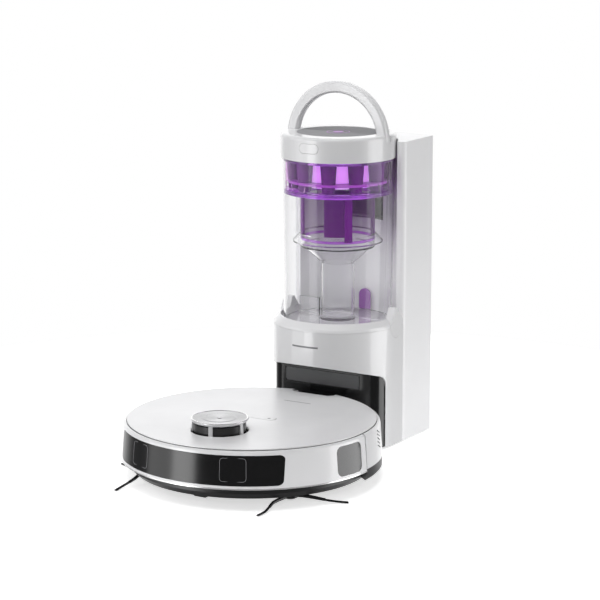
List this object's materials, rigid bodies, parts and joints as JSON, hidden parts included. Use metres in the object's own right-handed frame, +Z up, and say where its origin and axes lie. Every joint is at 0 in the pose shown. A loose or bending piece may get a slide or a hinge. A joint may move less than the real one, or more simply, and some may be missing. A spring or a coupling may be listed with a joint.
{
  "type": "robot vacuum",
  "caption": "Round robot vacuum with laser turret and side brushes, docked in a self-emptying station with a clear bagless cyclone bin and carrying handle.",
  "frame": {"origin": "on the floor, at the centre of the docked set's footprint box", "axes": "+Z up, +Y from the robot's front towards the back of the station, +X to the right of someone who faces the front"},
  "size_m": [0.3578, 0.512, 0.507],
  "materials": {
    "white_shell": "satin",
    "pearl_cover": "satin metallic",
    "bin_lid_white": "satin",
    "black_plastic": "satin",
    "black_gloss": "gloss",
    "dark_window": "gloss",
    "grey_plastic": "satin",
    "clear_bin": "clear gloss",
    "purple_clear": "clear gloss",
    "brushed_cap": "spun",
    "rubber": "matte",
    "tyre": "matte",
    "bristle": "matte",
    "brush_rubber": "matte",
    "steel": "satin",
    "contact": "polished",
    "board": "satin",
    "filter": "matte",
    "cell_wrap": "satin"
  },
  "bodies": {
    "station": {"base_plate": "grey_plastic", "base_feet": "rubber", "tower_shell": "white_shell", "tower_back": "white_shell", "front_housing": "white_shell", "bin_collar": "white_shell", "bay_insert": "black_gloss", "dock_seal": "rubber", "charge_contacts": "contact", "intake_duct": "black_plastic", "suction_duct": "black_plastic", "suction_motor": "steel", "exhaust_filter": "filter", "exhaust_grille": "grey_plastic", "power_board": "board", "power_inlet": "black_plastic", "station_screws": "steel"},
    "station_fan": {"motor_impeller": "grey_plastic"},
    "dust_bin": {"bin_wall": "clear_bin", "bin_floor": "clear_bin", "cyclone_block": "purple_clear", "mesh_filter": "purple_clear", "cone_skirt": "clear_bin", "inner_cone": "clear_bin", "bin_lid": "bin_lid_white", "lid_filter": "filter", "bin_handle": "bin_lid_white"},
    "bin_latch": {"floor_latch": "purple_clear"},
    "lid_release": {"lid_button": "bin_lid_white"},
    "robot": {"chassis": "black_plastic", "rear_shell": "white_shell", "mid_deck": "grey_plastic", "turret_base": "black_gloss", "battery": "cell_wrap", "main_board": "board", "dust_box": "grey_plastic", "dust_filter": "filter", "fan_housing": "grey_plastic", "brush_guard": "grey_plastic", "brush_motors": "grey_plastic", "charge_pads": "contact", "cliff_sensors": "black_gloss", "robot_screws": "steel"},
    "robot_fan": {"fan_impeller": "grey_plastic"},
    "cover": {"top_cover": "pearl_cover"},
    "controls": {"control_button": "pearl_cover"},
    "lidar": {"lidar_rotor": "grey_plastic"},
    "turret": {"turret_cap": "brushed_cap"},
    "bumper": {"bumper_shell": "white_shell", "front_window": "black_gloss", "side_windows": "dark_window"},
    "right_side_brush": {"side_brush_right": "bristle"},
    "left_side_brush": {"side_brush_left": "bristle"},
    "roller_brush": {"main_brush": "brush_rubber"},
    "right_arm": {"wheel_arm_right": "grey_plastic"},
    "left_arm": {"wheel_arm_left": "grey_plastic"},
    "right_wheel": {"wheel_right": "tyre"},
    "left_wheel": {"wheel_left": "tyre"},
    "caster_swivel": {"caster_fork": "grey_plastic"},
    "caster_roller": {"caster_wheel": "tyre"}
  },
  "joints": [
    {"name": "robot_undock", "type": "slide", "parent": "station", "child": "robot", "axis": [0, -1, 0], "range_m": [0, 0.3]},
    {"name": "bin_lift", "type": "slide", "parent": "station", "child": "dust_bin", "axis": [0, 0, 1], "range_m": [0, 0.12]},
    {"name": "bin_latch_slide", "type": "slide", "parent": "dust_bin", "child": "bin_latch", "axis": [0, 0, -1], "range_m": [0, 0.004], "stiffness_N_per_m": 300, "springref_m": -0.001},
    {"name": "lid_button_press", "type": "slide", "parent": "dust_bin", "child": "lid_release", "axis": [0, 1, 0], "range_m": [0, 0.0025], "stiffness_N_per_m": 400, "springref_m": -0.001},
    {"name": "station_fan_spin", "type": "hinge", "parent": "station", "child": "station_fan", "pos_m": [0, 0.182, 0.12], "axis": [0, 0, 1], "continuous": true},
    {"name": "robot_fan_spin", "type": "hinge", "parent": "robot", "child": "robot_fan", "pos_m": [0.088, 0.027, 0.045], "axis": [0, 0, 1], "continuous": true},
    {"name": "cover_lift", "type": "slide", "parent": "robot", "child": "cover", "axis": [0, 0, 1], "range_m": [0, 0.02]},
    {"name": "control_press", "type": "slide", "parent": "cover", "child": "controls", "axis": [0, 0, -1], "range_m": [0, 0.0007], "stiffness_N_per_m": 300, "springref_m": -0.0005},
    {"name": "lidar_spin", "type": "hinge", "parent": "robot", "child": "lidar", "pos_m": [0, -0.159, 0.08], "axis": [0, 0, 1], "continuous": true},
    {"name": "turret_press", "type": "slide", "parent": "robot", "child": "turret", "axis": [0, 0, -1], "range_m": [0, 0.0012], "stiffness_N_per_m": 1500, "springref_m": -0.001},
    {"name": "bumper_press", "type": "slide", "parent": "robot", "child": "bumper", "axis": [0, 1, 0], "range_m": [0, 0.0025], "stiffness_N_per_m": 400, "springref_m": -0.002},
    {"name": "right_brush_spin", "type": "hinge", "parent": "robot", "child": "right_side_brush", "pos_m": [0.112, -0.166, 0.01], "axis": [0, 0, 1], "continuous": true},
    {"name": "left_brush_spin", "type": "hinge", "parent": "robot", "child": "left_side_brush", "pos_m": [-0.112, -0.166, 0.01], "axis": [0, 0, 1], "continuous": true},
    {"name": "main_brush_spin", "type": "hinge", "parent": "robot", "child": "roller_brush", "pos_m": [0, -0.086, 0.022], "axis": [1, 0, 0], "continuous": true},
    {"name": "right_suspension", "type": "hinge", "parent": "robot", "child": "right_arm", "pos_m": [0.1, -0.017, 0.04], "axis": [1, 0, 0], "range_deg": [0, 22], "stiffness_Nm_per_rad": 0.6, "springref_deg": 28.65},
    {"name": "left_suspension", "type": "hinge", "parent": "robot", "child": "left_arm", "pos_m": [-0.1, -0.017, 0.04], "axis": [1, 0, 0], "range_deg": [0, 22], "stiffness_Nm_per_rad": 0.6, "springref_deg": 28.65},
    {"name": "right_wheel_roll", "type": "hinge", "parent": "right_arm", "child": "right_wheel", "pos_m": [0.119, -0.064, 0.034], "axis": [1, 0, 0], "continuous": true},
    {"name": "left_wheel_roll", "type": "hinge", "parent": "left_arm", "child": "left_wheel", "pos_m": [-0.119, -0.064, 0.034], "axis": [1, 0, 0], "continuous": true},
    {"name": "caster_turn", "type": "hinge", "parent": "robot", "child": "caster_swivel", "pos_m": [0, -0.209, 0.024], "axis": [0, 0, 1], "continuous": true},
    {"name": "caster_roll", "type": "hinge", "parent": "caster_swivel", "child": "caster_roller", "pos_m": [0, -0.202, 0.014], "axis": [1, 0, 0], "continuous": true}
  ]
}
